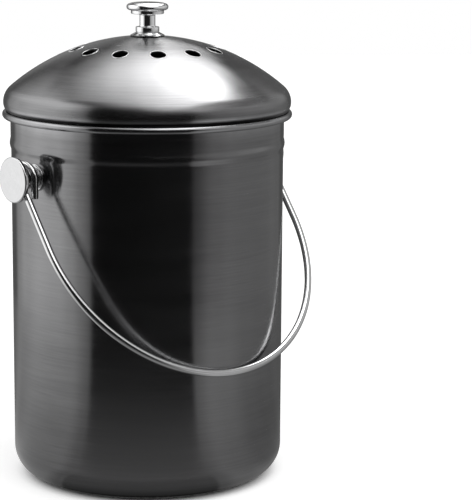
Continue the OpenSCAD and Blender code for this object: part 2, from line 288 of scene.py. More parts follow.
join(sums("MULTIPLY", near.outputs[0], broken.outputs[0]), result.inputs["Wear and shade"])


def place_group(tree, group, vector, **values):
    """Places an effect in a material with its own values."""
    node = tree.nodes.new("ShaderNodeGroup")
    node.node_tree = group
    for label, value in values.items():
        node.inputs[label.replace("_", " ")].default_value = value
    tree.links.new(vector, node.inputs["Vector"])
    return node


def wear_and_shade_line(radius, height, width, amount, colour):
    """A line of wear, or of painted shade, along a turned edge, given in millimetres."""
    return radius * MM, height * MM, width * MM, amount, colour


def metal(name, dark, light, rough, stretch=0.0, slope=1.0, lines=1000.0, round_=1.8,
          bump=0.02, shift=(0, 0, 0), turn=(0, 0, 0), edges=()):
    """Brushed or polished steel: two tones, a roughness range, its marks and its lines of wear and
    painted shade.
    """
    material, tree = cleared_material(name)
    add, sums, join = tree_links(tree)
    end = add("ShaderNodeOutputMaterial")
    steel = add("ShaderNodeBsdfPrincipled")
    join(steel.outputs[0], end.inputs["Surface"])
    steel.inputs["Metallic"].default_value = 1.0
    steel.inputs["Anisotropic"].default_value = stretch
    steel.inputs["Anisotropic Rotation"].default_value = 0.25
    if stretch:
        tangent = add("ShaderNodeTangent", direction_type="RADIAL", axis="Z")
        join(tangent.outputs[0], steel.inputs["Tangent"])
    where = add("ShaderNodeTexCoord")
    centred = add("ShaderNodeMapping", vector_type="POINT")
    centred.inputs["Location"].default_value = shift
    centred.inputs["Rotation"].default_value = turn
    join(where.outputs["Object"], centred.inputs["Vector"])
    marks = place_group(tree, brush_marks, centred.outputs[0], Slope=slope,
                        Lines_per_metre=lines, Lines_round=round_)

    def mostly(first, second, share=0.6, rest=0.4):
        """Mixes the two kinds of marks, with more of the first."""
        return sums("MULTIPLY_ADD", marks.outputs[first], share,
                    sums("MULTIPLY", marks.outputs[second], rest))

    shade = remapped(tree, mostly("Lines", "Haze"), low=0.25, high=0.75)
    colour = two_tones(tree, shade.outputs[0], dark, light)
    # Each line lays bare-steel wear or painted shade over the steel's colour.
    for radius, height, width, amount, line_colour in edges:
        wear_and_shade_mask = place_group(tree, wear_and_shade_group, centred.outputs[0], Radius=radius, Height=height,
                             Width=width)
        colour = two_tones(tree, sums("MULTIPLY", wear_and_shade_mask.outputs["Wear and shade"], amount), colour, line_colour)
    join(colour, steel.inputs["Base Color"])
    polish = remapped(tree, mostly("Haze", "Lines"), low=0.3, high=0.7, to_low=rough[0],
                      to_high=rough[1])
    join(polish.outputs[0], steel.inputs["Roughness"])
    raised(tree, marks.outputs["Lines"], steel, strength=bump, depth=0.4)
    return material


BLACK = (0.185, 0.185, 0.188)
BLACK_LIGHT = (0.245, 0.245, 0.248)
BARE = (0.42, 0.42, 0.43)
# Near-black colour of the painted shade in seams and at the foot.
PAINTED_SHADE = (0.012, 0.012, 0.012)
FOOT_SHADE_IN = 10.7
FOOT_SHADE_Z = 0.5
# The rolled rim wears to bare steel. The dark line low on the foot is painted shade, standing in
# for the contact shadow where the base meets the table.
bin_edges = (wear_and_shade_line(ROLL_MID_R, ROLL_MID_Z, width=9.0, amount=0.85, colour=BARE),
             wear_and_shade_line(WALL_R - FOOT_SHADE_IN, FOOT_SHADE_Z, width=7.0, amount=6.0, colour=PAINTED_SHADE))
bin_steel = metal("Black brushed steel", BLACK, BLACK_LIGHT, rough=(0.14, 0.22), stretch=0.8,
                  edges=bin_edges)
bin_shell.data.materials.append(bin_steel)
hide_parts("bin_body")
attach(bin_shell, "bin")

# Side studs. Each is turned from solid steel: a flange that sits on the wall, a
# shank for the bail's eye and a broad flat head, all brightly polished.
FLANGE_T = 2.9
FLANGE_R = 8.2
FLANGE_SEAT = 0.45
FLANGE_EASE = 0.45
STEP_R = 6.9
STEP_SHARE = 0.6
STEP_EASE = 0.35
STEP_FILLET = 0.15
SHANK_R = 6.25
SHANK_L = 12.3
SHANK_FILLET = 0.3
HEAD_R = 13.8
HEAD_T = 2.6
HEAD_EASE = 0.9
HEAD_BACK_EASE = 0.45
FLANGE_S = WALL_R + FLANGE_T
HEAD_S = FLANGE_S + SHANK_L
BORE_R = 2.05
BORE_L = 14.5
SCREW_GAP_R = 2.15
SEAL_T = 1.6
WASHER_T = 1
BORE_S = WALL_R - SHEET - SEAL_T - WASHER_T + BORE_L
ROUND_STUDS = {"shift": (-STUD_Z * MM, 0, 0), "turn": (0, math.radians(90), 0)}


def on_stud(side):
    """Place of a profile point on the stud of one side, where height runs outwards."""
    def place_point(r, h, turn):
        return Vector((side * h, side * r * math.cos(turn), STUD_Z + r * math.sin(turn))) * MM
    return place_point


stud_steel = metal("Polished steel turned about the studs", dark=(0.53, 0.532, 0.536),
                   light=(0.61, 0.612, 0.616), rough=(0.06, 0.13), slope=0.6, lines=1500.0,
                   round_=2.0, bump=0.006, **ROUND_STUDS)
step_s = WALL_R + FLANGE_T * STEP_SHARE
flange_profile = ([(SCREW_GAP_R, WALL_R - FLANGE_SEAT), (FLANGE_R, WALL_R - FLANGE_SEAT)]
                  + arc((FLANGE_R - FLANGE_EASE, step_s - FLANGE_EASE), FLANGE_EASE, 0, 90, 6)
                  + [(STEP_R + STEP_FILLET, step_s), (STEP_R, step_s + STEP_FILLET)]
                  + arc((STEP_R - STEP_EASE, FLANGE_S - STEP_EASE), STEP_EASE, 0, 90, 6)
                  + [(SCREW_GAP_R, FLANGE_S)])
head_back = (HEAD_R - HEAD_BACK_EASE, HEAD_S + HEAD_BACK_EASE)
stud_profile = ([(BORE_R, FLANGE_S), (SHANK_R, FLANGE_S), (SHANK_R, HEAD_S - SHANK_FILLET)]
                + arc((SHANK_R + SHANK_FILLET, HEAD_S - SHANK_FILLET), SHANK_FILLET, 180, 90, 5)
                + arc(head_back, HEAD_BACK_EASE, -90, 0, 6)
                + arc((HEAD_R - HEAD_EASE, HEAD_S + HEAD_T - HEAD_EASE), HEAD_EASE, 0, 90, 10)
                + [(0, HEAD_S + HEAD_T), (0, BORE_S), (BORE_R, BORE_S)])
for side, word in ((-1, "left"), (1, "right")):
    for part, profile in (("flange", flange_profile), ("stud", stud_profile)):
        piece = turned(f"{part}_{word}", profile, on_stud(side), steps=128)
        piece.data.materials.append(stud_steel)
        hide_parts(f"pivot_{part}_{word}")
        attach(piece, "bin")

# Bail. One length of round polished steel wire, bent to an open eye round each
# stud and a half-round bow between them. It hangs against the front of the bin.
WIRE_R = 2.2
HEAD_GAP = 0.7
EYE_GAP = 0.35
TURN_GAP = 0.2
REST_GAP = 0.4
BOW_R = HEAD_S - HEAD_GAP - WIRE_R
LEG_L = 48
EYE_R = SHANK_R + EYE_GAP + WIRE_R
TAIL_S = BOW_R - 2 * WIRE_R - TURN_GAP
TAIL_L = 11
BEND_R = 5
HANG = math.asin((WALL_R + WIRE_R + REST_GAP) / (LEG_L + BOW_R))
WIRE_SIDES = 24
TAIL_STEPS = 6
EYE_STEPS = 60
BEND_STEPS = 8
LEG_STEPS = 8
BOW_STEPS = 60


def from_leg(s, v, w):
    """Place on the wire: s along the studs, v down the leg and w behind it."""
    return Vector((s, -v * math.sin(HANG) + w * math.cos(HANG),
                   STUD_Z - v * math.cos(HANG) - w * math.sin(HANG)))


bend_v = math.sqrt(EYE_R ** 2 + 2 * EYE_R * BEND_R)
eye_end = math.atan2(BEND_R, bend_v)
eye_start = HANG + math.radians(270)
half = [Vector((TAIL_S, -EYE_R, STUD_Z - TAIL_L + TAIL_L * i / TAIL_STEPS))
        for i in range(TAIL_STEPS)]
for i in range(EYE_STEPS + 1):
    turn = eye_start + (eye_end - eye_start) * i / EYE_STEPS
    s = TAIL_S + (BOW_R - TAIL_S) * (1 - math.cos(math.pi * i / EYE_STEPS)) / 2
    half.append(from_leg(s, EYE_R * math.cos(turn), EYE_R * math.sin(turn)))
for i in range(1, BEND_STEPS + 1):
    turn = (math.pi / 2 - eye_end) * (1 - i / BEND_STEPS)
    half.append(from_leg(BOW_R, bend_v - BEND_R * math.sin(turn),
                         BEND_R - BEND_R * math.cos(turn)))
for i in range(1, LEG_STEPS):
    half.append(from_leg(BOW_R, bend_v + (LEG_L - bend_v) * i / LEG_STEPS, 0))
for i in range(BOW_STEPS + 1):
    turn = math.pi * i / (2 * BOW_STEPS)
    half.append(from_leg(BOW_R * math.cos(turn), LEG_L + BOW_R * math.sin(turn), 0))
wire_path = half + [Vector((-p.x, p.y, p.z)) for p in reversed(half[:-1])]


def swept(name, path, radius, sides, ease=0.35):
    """Sweeps a round wire along a path in millimetres, with eased ends."""
    ways = []
    for i, point in enumerate(path):
        ways.append((path[min(i + 1, len(path) - 1)] - path[max(i - 1, 0)]).normalized())
    ends = ((0, 0), (ease * 0.3, math.radians(45)))
    rings = [(path[0] + ways[0] * e, 0, radius - ease + ease * math.sin(t)) for e, t in ends]
    rings += [(p, i, radius) for i, p in enumerate(path) if 0 < i < len(path) - 1]
    rings += [(path[-1] - ways[-1] * e, len(path) - 1, radius - ease + ease * math.sin(t))
              for e, t in reversed(ends)]
    bm = bmesh.new()
    seam = Vector((1, 0, 0.3))
    loops = []
    for point, i, r in rings:
        seam = (seam - seam.dot(ways[i]) * ways[i]).normalized()
        other = ways[i].cross(seam)
        loops.append([bm.verts.new((point + r * (math.cos(a) * seam + math.sin(a) * other)) * MM)
                      for a in (math.tau * k / sides for k in range(sides))])
    for a, b in zip(loops, loops[1:]):
        skin(bm, a, b)
    bm.faces.new(loops[0])
    bm.faces.new(loops[-1])
    return as_piece(bm, name, edge=35)


bail = swept("bail", wire_path, WIRE_R, WIRE_SIDES)
wire_steel = metal("Polished steel wire", dark=(0.66, 0.663, 0.667), light=(0.76, 0.763, 0.767),
                   rough=(0.12, 0.2), slope=0.3, lines=260.0, round_=9.0, bump=0.008)
bail.data.materials.append(wire_steel)
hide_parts("bail_handle")
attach(bail, "bail")

# Stud fastenings inside the bin: a soft seal, a flat washer and a pan-head screw
# on each side. They are small stock parts and keep the shapes of the frame.
seal_rubber = bpy.data.materials.new("Seal rubber")
seal_rubber.use_nodes = True
tree = seal_rubber.node_tree
add, sums, join = tree_links(tree)
rubber = tree.nodes["Principled BSDF"]
where = add("ShaderNodeTexCoord")
bloom = textured(tree, "ShaderNodeTexNoise", where.outputs["Object"], Scale=420.0,
                 Detail=5.0).outputs["Fac"]
join(two_tones(tree, bloom, (0.022, 0.022, 0.022), (0.045, 0.044, 0.042)),
     rubber.inputs["Base Color"])
join(sums("MULTIPLY_ADD", bloom, 0.3, 0.45), rubber.inputs["Roughness"])
raised(tree, bloom, rubber, strength=0.2, depth=0.2)
zinc_steel = metal("Plain steel fastenings", dark=(0.5, 0.5, 0.5), light=(0.68, 0.68, 0.67),
                   rough=(0.22, 0.36), slope=0.6, lines=1800.0, round_=2.5, bump=0.03,
                   **ROUND_STUDS)
for word in ("left", "right"):
    for part, material in (("seal", seal_rubber), ("washer", zinc_steel), ("screw", zinc_steel)):
        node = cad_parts[f"pivot_{part}_{word}"]
        node.data.materials.clear()
        node.data.materials.append(material)

# Dome of the lid. Spun from the same black brushed steel, with a round shoulder
# that tucks in over the rim and a ring of punched vent holes near the crown.
LID_INSET = 0.7
LID_RISE = 5.3
LID_R = RIM_R - LID_INSET
WIDE_Z = RIM_TOP + LID_RISE
DOME_H = 40.5
SHOULDER_R = 12
TUCK_R = 9
SEAT_GAP = 0.3
SEAT_Z = RIM_TOP + SEAT_GAP
CROWN_Z = WIDE_Z + DOME_H
VENTS = 12
VENT_R = 4.9
VENT_RING_R = 44.2
VENT_SIDES = 64
PUNCH_OVER = 5
CUT_NEAR = 0.05
CUT_SLOPE = 0.2
RUB_IN = 0.7
RUB_UP = 2.4
SEAM_IN = 1.5
SEAM_UP = 0.1
DOME_R = (DOME_H ** 2 - SHOULDER_R ** 2 + (LID_R - SHOULDER_R) ** 2) / 2 / (DOME_H - SHOULDER_R)
DOME_MID = CROWN_Z - DOME_R
DOME_A = math.degrees(math.atan2(WIDE_Z - DOME_MID, LID_R - SHOULDER_R))


def dome_side(inset):
    """Profile of one face of the dome, from the hole in its crown to the tuck."""
    hole = 90 - math.degrees(math.asin(SCREW_GAP_R / (DOME_R - inset)))
    tuck = -math.degrees(math.asin((WIDE_Z - SEAT_Z) / (TUCK_R - inset)))
    return (arc((0, DOME_MID), DOME_R - inset, hole, DOME_A, 44)
            + arc((LID_R - SHOULDER_R, WIDE_Z), SHOULDER_R - inset, DOME_A, 0, 22)[1:]
            + arc((LID_R - TUCK_R, WIDE_Z), TUCK_R - inset, 0, tuck, 12)[1:])


def vent_turn(k):
    """Turn of a vent hole about the lid's axis. The first one is in front."""
    return math.tau * k / VENTS - math.pi / 2


def on_vent(k):
    """Place of a profile point on the punch of one vent hole."""
    a = vent_turn(k)
    middle = Vector((VENT_RING_R * math.cos(a), VENT_RING_R * math.sin(a), 0))

    def place_point(r, h, turn):
        return (middle + Vector((r * math.cos(turn), r * math.sin(turn), h))) * MM
    return place_point


def with_modifiers(piece):
    """Turns a piece and its modifiers into one plain mesh."""
    graph = bpy.context.evaluated_depsgraph_get()
    mesh = bpy.data.meshes.new_from_object(piece.evaluated_get(graph))
    piece.modifiers.clear()
    piece.data = mesh
    return mesh


dome = turned("dome", dome_side(0) + list(reversed(dome_side(SHEET))))
bm = bmesh.new()
for k in range(VENTS):
    low, high = (ring(bm, on_vent(k), VENT_R, h, VENT_SIDES)
                 for h in (WIDE_Z, CROWN_Z + PUNCH_OVER))
    skin(bm, low, high)
    bm.faces.new(low)
    bm.faces.new(high)
punch = as_piece(bm, "punch")
cut = dome.modifiers.new("Punch", "BOOLEAN")
cut.operation = "DIFFERENCE"
cut.solver = "EXACT"
cut.object = punch
punched = with_modifiers(dome)
bpy.data.objects.remove(punch)
punched.shade_smooth()
punched.set_sharp_from_angle(angle=math.radians(EDGE))
burr_steel = metal("Bare steel burr", dark=(0.66, 0.66, 0.665), light=(0.8, 0.8, 0.805),
                   rough=(0.2, 0.34), lines=2600.0, round_=6.0, bump=0.03)
# The first line is wear on the tuck. The second is painted shade: a dark band along the dome's
# lower edge, where the seam with the rim lies in shade.
dome_edges = (wear_and_shade_line(LID_R - RUB_IN, SEAT_Z + RUB_UP, width=1.9, amount=1.0, colour=BARE),
              wear_and_shade_line(LID_R - SEAM_IN, SEAT_Z + SEAM_UP, width=2.5, amount=2.2, colour=PAINTED_SHADE))
dome_steel = metal("Black brushed steel of the dome", BLACK, BLACK_LIGHT, rough=(0.2, 0.28),
                   stretch=0.8, slope=-1.0, edges=dome_edges)
# The walls of the vent holes are painted nearly black, as painted shade inside the holes.
vent_wall_shade = metal("Vent walls in painted shade", dark=(0.05, 0.05, 0.051), light=(0.1, 0.1, 0.102),
                  rough=(0.3, 0.5), lines=5200.0, round_=6.0, bump=0.05)
punched.materials.clear()
punched.materials.append(dome_steel)
punched.materials.append(vent_wall_shade)
# Faces of the hole walls take the painted shade.
for face in punched.polygons:
    x, y = face.center.x / MM, face.center.y / MM
    turn = vent_turn(round((math.atan2(y, x) + math.pi / 2) / math.tau * VENTS))
    off = math.hypot(x - VENT_RING_R * math.cos(turn), y - VENT_RING_R * math.sin(turn))
    if abs(off - VENT_R) < CUT_NEAR and abs(face.normal.z) < CUT_SLOPE:
        face.material_index = 1
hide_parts("lid_dome")
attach(dome, "lid")

# Burr rings of the vents. Punching leaves a thin bright line of bare steel round
# each hole, and Geometry Nodes lay it on the dome's surface.
BURR_R = 0.18
BURR_SIDES = 6
vent_edges = bpy.data.node_groups.new("Vent edges", "GeometryNodeTree")
vent_edges.interface.new_socket("Geometry", in_out="OUTPUT", socket_type="NodeSocketGeometry")
vent_sizes = {}
for label, kind, value in (("Holes", "NodeSocketInt", VENTS),
                           ("Ring radius", "NodeSocketFloat", VENT_RING_R * MM),
                           ("Hole radius", "NodeSocketFloat", VENT_R * MM),
                           ("Dome radius", "NodeSocketFloat", DOME_R * MM),
                           ("Dome middle", "NodeSocketFloat", DOME_MID * MM),
                           ("Line", "NodeSocketFloat", BURR_R * MM),
                           ("Metal", "NodeSocketMaterial", burr_steel)):
    socket = vent_edges.interface.new_socket(label, in_out="INPUT", socket_type=kind)
    vent_sizes[socket.identifier] = value
add, sums, join = tree_links(vent_edges)
given = add("NodeGroupInput")
result = add("NodeGroupOutput")
hole = add("GeometryNodeCurvePrimitiveCircle")
hole.inputs["Resolution"].default_value = VENT_SIDES
join(given.outputs["Hole radius"], hole.inputs["Radius"])
out_to_ring = add("GeometryNodeTransform")
ring_place = add("ShaderNodeCombineXYZ")
join(sums("MULTIPLY", given.outputs["Ring radius"], -1.0), ring_place.inputs["Y"])
join(hole.outputs["Curve"], out_to_ring.inputs["Geometry"])
join(ring_place.outputs[0], out_to_ring.inputs["Translation"])
spot = add("GeometryNodeInputPosition")
parts = add("ShaderNodeSeparateXYZ")
join(spot.outputs[0], parts.inputs[0])
spread = sums("ADD", sums("MULTIPLY", parts.outputs["X"], parts.outputs["X"]),
              sums("MULTIPLY", parts.outputs["Y"], parts.outputs["Y"]))
dome_square = sums("MULTIPLY", given.outputs["Dome radius"], given.outputs["Dome radius"])
level = sums("ADD", sums("SQRT", sums("SUBTRACT", dome_square, spread)),
             given.outputs["Dome middle"])
on_dome = add("GeometryNodeSetPosition")
lifted = add("ShaderNodeCombineXYZ")
join(parts.outputs["X"], lifted.inputs["X"])
join(parts.outputs["Y"], lifted.inputs["Y"])
join(level, lifted.inputs["Z"])
join(out_to_ring.outputs[0], on_dome.inputs["Geometry"])
join(lifted.outputs[0], on_dome.inputs["Position"])
section = add("GeometryNodeCurvePrimitiveCircle")
section.inputs["Resolution"].default_value = BURR_SIDES
join(given.outputs["Line"], section.inputs["Radius"])
burr = add("GeometryNodeCurveToMesh")
join(on_dome.outputs[0], burr.inputs["Curve"])
join(section.outputs["Curve"], burr.inputs["Profile Curve"])
dots = add("GeometryNodeMeshLine", mode="OFFSET")
dots.inputs["Offset"].default_value = (0, 0, 0)
join(given.outputs["Holes"], dots.inputs["Count"])
number = add("GeometryNodeInputIndex")
turn_by = add("ShaderNodeCombineXYZ")
join(sums("MULTIPLY", number.outputs[0], sums("DIVIDE", math.tau, given.outputs["Holes"])),
     turn_by.inputs["Z"])
repeat = add("GeometryNodeInstanceOnPoints")
join(dots.outputs[0], repeat.inputs["Points"])
join(burr.outputs[0], repeat.inputs["Instance"])
join(turn_by.outputs[0], repeat.inputs["Rotation"])
real = add("GeometryNodeRealizeInstances")
join(repeat.outputs[0], real.inputs[0])
finish_metal = add("GeometryNodeSetMaterial")
join(real.outputs[0], finish_metal.inputs["Geometry"])
join(given.outputs["Metal"], finish_metal.inputs["Material"])
join(finish_metal.outputs[0], result.inputs[0])


def grown(name, tree, sizes):
    """Runs a Geometry Nodes tree once and keeps its result as a plain mesh."""
    seed = bpy.data.objects.new(name, bpy.data.meshes.new(name))
    bpy.context.scene.collection.objects.link(seed)
    modifier = seed.modifiers.new("Nodes", "NODES")
    modifier.node_group = tree
    for key, value in sizes.items():
        modifier[key] = value
    with_modifiers(seed).shade_smooth()
    return seed


vent_burrs = grown("vent_edges", vent_edges, vent_sizes)
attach(vent_burrs, "lid")

# Pan of the lid. A flange welded under the dome, a plug that fits the mouth of
# the bin, a face brushed in rings and a collar that takes the filter ring.
PLUG_GAP = 0.8
PLUG_L = 18
PLUG_R = MOUTH_R - PLUG_GAP
FACE_Z = SEAT_Z - PLUG_L
PLUG_CORNER_R = 2
COLLAR_R = 54
COLLAR_H = 14
COLLAR_TOP = FACE_Z + COLLAR_H
STOP_W = 4
STOP_R = COLLAR_R - STOP_W
PAN_GAP = 0.05
PAN_R = (LID_R - TUCK_R + math.sqrt((TUCK_R - SHEET) ** 2 - (WIDE_Z - SEAT_Z) ** 2) - PAN_GAP)


def pan_skirt(inset):
    """Profile of one face of the rounded lower edge of the plug."""
    return arc((PLUG_R - PLUG_CORNER_R, FACE_Z + PLUG_CORNER_R), PLUG_CORNER_R - inset, 0, -90, 12)


pan = turned("pan", [(PAN_R, SEAT_Z), (PLUG_R, SEAT_Z)] + pan_skirt(0)
             + [(COLLAR_R, FACE_Z), (COLLAR_R, COLLAR_TOP - SHEET), (STOP_R, COLLAR_TOP - SHEET),
                (STOP_R, COLLAR_TOP), (COLLAR_R + SHEET, COLLAR_TOP),
                (COLLAR_R + SHEET, FACE_Z + SHEET)]
             + list(reversed(pan_skirt(SHEET)))
             + [(PLUG_R - SHEET, SEAT_Z + SHEET), (PAN_R, SEAT_Z + SHEET)])
pan_edges = (wear_and_shade_line(PLUG_R, FACE_Z, width=1.5, amount=0.5, colour=BARE),)
pan_steel = metal("Black brushed steel of the pan", dark=(0.2, 0.2, 0.203),
                  light=(0.27, 0.27, 0.274), rough=(0.24, 0.36), stretch=0.8, lines=2000.0,
                  bump=0.04, edges=pan_edges)
pan.data.materials.append(pan_steel)
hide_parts("lid_plug_pan")
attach(pan, "lid")

# Knob. A low cone on the crown, a turned stem with a collar at its foot and a
# lens-shaped cap with a step under it, all polished. A screw holds it from below.
CAP_R = 12.95
CAP_T = 5.6
CAP_STEP_R = 10.2
CAP_STEP_H = 1.6
CAP_EDGE_R = 2.0
CAP_LOW_SHARE = 0.4
CAP_FILLET = 0.35
FILLET_UP = 0.25
BULGE_STEP = 4.5
STEM_R = 4.9
STEM_H = 8
STEM_FILLET = 0.9
STEM_FLARE = 1.2
KNOB_FOOT_R = 7.3
KNOB_FOOT_H = 3.1
FOOT_EASE = 0.4
CONE_R = 10.5
CONE_H = 2.4
CONE_LIP = 0.1
CONE_GAP = 0.02
BORE_ROOF = 1.5
CONE_TOP = CROWN_Z + CONE_H
FOOT_TOP = CONE_TOP + KNOB_FOOT_H
STEM_TOP = FOOT_TOP + STEM_H
CAP_Z = STEM_TOP + CAP_STEP_H
KNOB_BORE = STEM_TOP - BORE_ROOF
TURNED_KNOB = {"slope": 0.6, "lines": 1500.0, "round_": 2.0, "bump": 0.006}
knob_steel = metal("Polished steel of the knob", dark=(0.78, 0.783, 0.787),
                   light=(0.88, 0.883, 0.887), rough=(0.05, 0.12), **TURNED_KNOB)
cone_a = math.degrees(math.asin(CONE_R / DOME_R))
cone_edge = DOME_MID + DOME_R * math.cos(math.radians(cone_a))
cone_hole = math.degrees(math.asin(SCREW_GAP_R / DOME_R))
cone_profile = (arc((0, DOME_MID), DOME_R + CONE_GAP, 90 - cone_hole, 90 - cone_a, 10)
                + [(CONE_R + 0.06, cone_edge + 0.04), (CONE_R + CONE_LIP, cone_edge + CONE_LIP),
                   (CONE_R + CONE_LIP, cone_edge + 0.75), (CONE_R - CONE_LIP, cone_edge + 0.95),
                   (KNOB_FOOT_R + 0.1, CONE_TOP - 0.3), (KNOB_FOOT_R - 0.5, CONE_TOP),
                   (SCREW_GAP_R, CONE_TOP)])
foot_r = KNOB_FOOT_R - FOOT_EASE
stem_profile = ([(BORE_R, CONE_TOP)]
                + arc((foot_r, CONE_TOP + FOOT_EASE), FOOT_EASE, -90, 0, 5)
                + arc((foot_r, FOOT_TOP - FOOT_EASE), FOOT_EASE, 0, 90, 5)
                + arc((STEM_R + STEM_FILLET, FOOT_TOP + STEM_FILLET), STEM_FILLET, -90, -180, 6)
                + arc((STEM_R + STEM_FLARE, STEM_TOP - STEM_FLARE), STEM_FLARE, 180, 110, 6)
                + [(STEM_R + STEM_FILLET, STEM_TOP), (0, STEM_TOP), (0, KNOB_BORE),
                   (BORE_R, KNOB_BORE)])
low_h = (CAP_T - 2 * CAP_EDGE_R) * CAP_LOW_SHARE
bulge_h = CAP_T - low_h - 2 * CAP_EDGE_R
cap_edge_z = CAP_Z + low_h + CAP_EDGE_R
cap_top = cap_edge_z + CAP_EDGE_R
cap_in_r = CAP_R - CAP_EDGE_R
bulge = [(cap_in_r * math.sin(a), cap_top + bulge_h * math.cos(a))
         for a in (math.radians(BULGE_STEP * i) for i in range(19, 0, -1))]
cap_profile = ([(0, STEM_TOP), (CAP_STEP_R - 0.3, STEM_TOP), (CAP_STEP_R, STEM_TOP + 0.3),
                (CAP_STEP_R, CAP_Z + FILLET_UP)]
               + arc((CAP_STEP_R + CAP_FILLET, CAP_Z + FILLET_UP), CAP_FILLET, 180, 115, 4)
               + arc((cap_in_r, cap_edge_z), CAP_EDGE_R, -78, 72, 20)
               + bulge + [(0, cap_top + bulge_h)])
# Painted shade: a dark line round the cone's lip, where it meets the dome.
cone_edges = (wear_and_shade_line(CONE_R + CONE_LIP, cone_edge + CONE_LIP, width=1.2, amount=1.6,
                        colour=PAINTED_SHADE),)
cone_steel = metal("Polished steel of the cone", dark=(0.66, 0.662, 0.665),
                   light=(0.78, 0.782, 0.786), rough=(0.1, 0.18), edges=cone_edges, **TURNED_KNOB)
for name, node, profile, material in (("knob_cone", "knob_base_cone", cone_profile, cone_steel),
                                      ("knob_post", "knob_stem", stem_profile, knob_steel),
                                      ("knob_top", "knob_cap", cap_profile, knob_steel)):
    piece = turned(name, profile, steps=128)
    piece.data.materials.append(material)
    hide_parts(node)
    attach(piece, "lid")
for name in ("knob_washer", "knob_screw"):
    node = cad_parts[name]
    node.data.materials.clear()
    node.data.materials.append(zinc_steel)

# Filter ring. A polished ring that pushes up into the collar; its lip closes the
# joint with the face, and its inner edge carries the felt.
RING_GAP = 0.3
RING_R = COLLAR_R - RING_GAP
RING_T = 0.8
RING_WALL_H = 6
RING_EASE = 0.25
CARRY_W = 2.3
OPENING_R = RING_R - CARRY_W
LIP_R = RING_R + 1.4
LIP_H = 0.9
LIP_EASE = 0.3
RING_SEAT = 0.1
RING_TOP = FACE_Z - RING_SEAT
RING_LOW = RING_TOP - RING_T + RING_EASE
ring_profile = ([(OPENING_R, RING_LOW)]
                + arc((OPENING_R + RING_EASE, RING_LOW), RING_EASE, 180, 270, 5)
                + [(LIP_R, FACE_Z - LIP_H)]
                + arc((LIP_R + 0.1, FACE_Z - LIP_H + LIP_EASE), LIP_EASE, -90, 0, 5)
                + [(LIP_R + 0.4, RING_TOP), (RING_R, RING_TOP), (RING_R, FACE_Z + RING_WALL_H),
                   (RING_R - RING_T, FACE_Z + RING_WALL_H), (RING_R - RING_T, RING_TOP),
                   (OPENING_R, RING_TOP)])
filter_ring = turned("filter_ring", ring_profile)
filter_ring.data.materials.append(knob_steel)
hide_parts("filter_retaining_ring")
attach(filter_ring, "filter")

# Felt and carbon pad. A disc of needled black felt lies on the ring's lip, and a
# thicker pad of open foam charged with carbon lies on the felt.
PAD_GAP = 0.2
PAD_R = RING_R - RING_T - PAD_GAP
PAD_Z = RING_TOP
FELT_T = 4
CARBON_T = 6
LAYER_GAP = 0.02


def pad_disc(name, low, high, fuzz, grain, rings=46, steps=180, ease=0.9):
    """A disc with an eased edge and an uneven fibrous surface, inside its radius and height."""
    bm = bmesh.new()
    flat_r = PAD_R - ease
    inner = [flat_r * i / rings for i in range(rings)]
    outline = ([(r, low) for r in inner] + arc((flat_r, low + ease), ease, -90, 0, 5)
               + arc((flat_r, high - ease), ease, 0, 90, 5) + [(r, high) for r in reversed(inner)])
    loops = [ring(bm, upright, r, h, steps) for r, h in outline]
    for a, b in zip(loops, loops[1:]):
        skin(bm, a, b)
    bmesh.ops.recalc_face_normals(bm, faces=bm.faces)
    bm.normal_update()
    for vert in bm.verts:
        depth = 0.5 + 0.5 * noise.fractal(vert.co / (grain * MM), 1.0, 2.0, 3)
        vert.co -= vert.normal * fuzz * MM * min(max(depth, 0), 1)
    return as_piece(bm, name, edge=60)


def soft_black(name, dark, light, scale, rough, bump, feature, twist, cell_scale, cell_share):
    """Matt black felt or open foam: fibres or cells in colour, roughness and relief."""
    material = bpy.data.materials.new(name)
    material.use_nodes = True
    tree = material.node_tree
    add, sums, join = tree_links(tree)
    cloth = tree.nodes["Principled BSDF"]
    cloth.inputs["Specular IOR Level"].default_value = 0.2
    cloth.inputs["Sheen Weight"].default_value = 0.25
    cloth.inputs["Sheen Roughness"].default_value = 0.5
    where = add("ShaderNodeTexCoord").outputs["Object"]
    fibres = textured(tree, "ShaderNodeTexNoise", where, Scale=scale, Detail=8.0, Roughness=0.72,
                      Distortion=twist)
    cells = textured(tree, "ShaderNodeTexVoronoi", where, Scale=scale * cell_scale)
    cells.feature = feature
    mix = sums("MULTIPLY_ADD", cells.outputs["Distance"], cell_share,
               sums("MULTIPLY", fibres.outputs["Fac"], 0.75))
    join(two_tones(tree, mix, dark, light), cloth.inputs["Base Color"])
    join(sums("MULTIPLY_ADD", mix, 0.2, rough), cloth.inputs["Roughness"])
    raised(tree, mix, cloth, strength=bump, depth=0.6)
    return material


felt_cloth = soft_black("Needled felt", dark=(0.010, 0.010, 0.010), light=(0.034, 0.034, 0.035),
                        scale=900.0, rough=0.78, bump=0.8, feature="SMOOTH_F1", twist=1.4,
                        cell_scale=2.3, cell_share=0.25)
carbon_foam = soft_black("Carbon foam", dark=(0.014, 0.014, 0.014), light=(0.05, 0.05, 0.05),
                         scale=620.0, rough=0.8, bump=1.0, feature="F1", twist=0.0,
                         cell_scale=0.9, cell_share=0.6)
FELT_TOP = PAD_Z + FELT_T
felt = pad_disc("felt_pad", PAD_Z + LAYER_GAP, FELT_TOP - LAYER_GAP, fuzz=0.25, grain=1.1)
carbon = pad_disc("carbon_pad", FELT_TOP + LAYER_GAP, FELT_TOP + CARBON_T - LAYER_GAP, fuzz=0.45,
                  grain=1.8)
for piece, material, node, slot in ((felt, felt_cloth, "filter_felt", "felt"),
                                    (carbon, carbon_foam, "carbon_filter", "carbon_foam")):
    piece.data.materials.append(material)
    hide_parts(node)
    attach(piece, "filter")

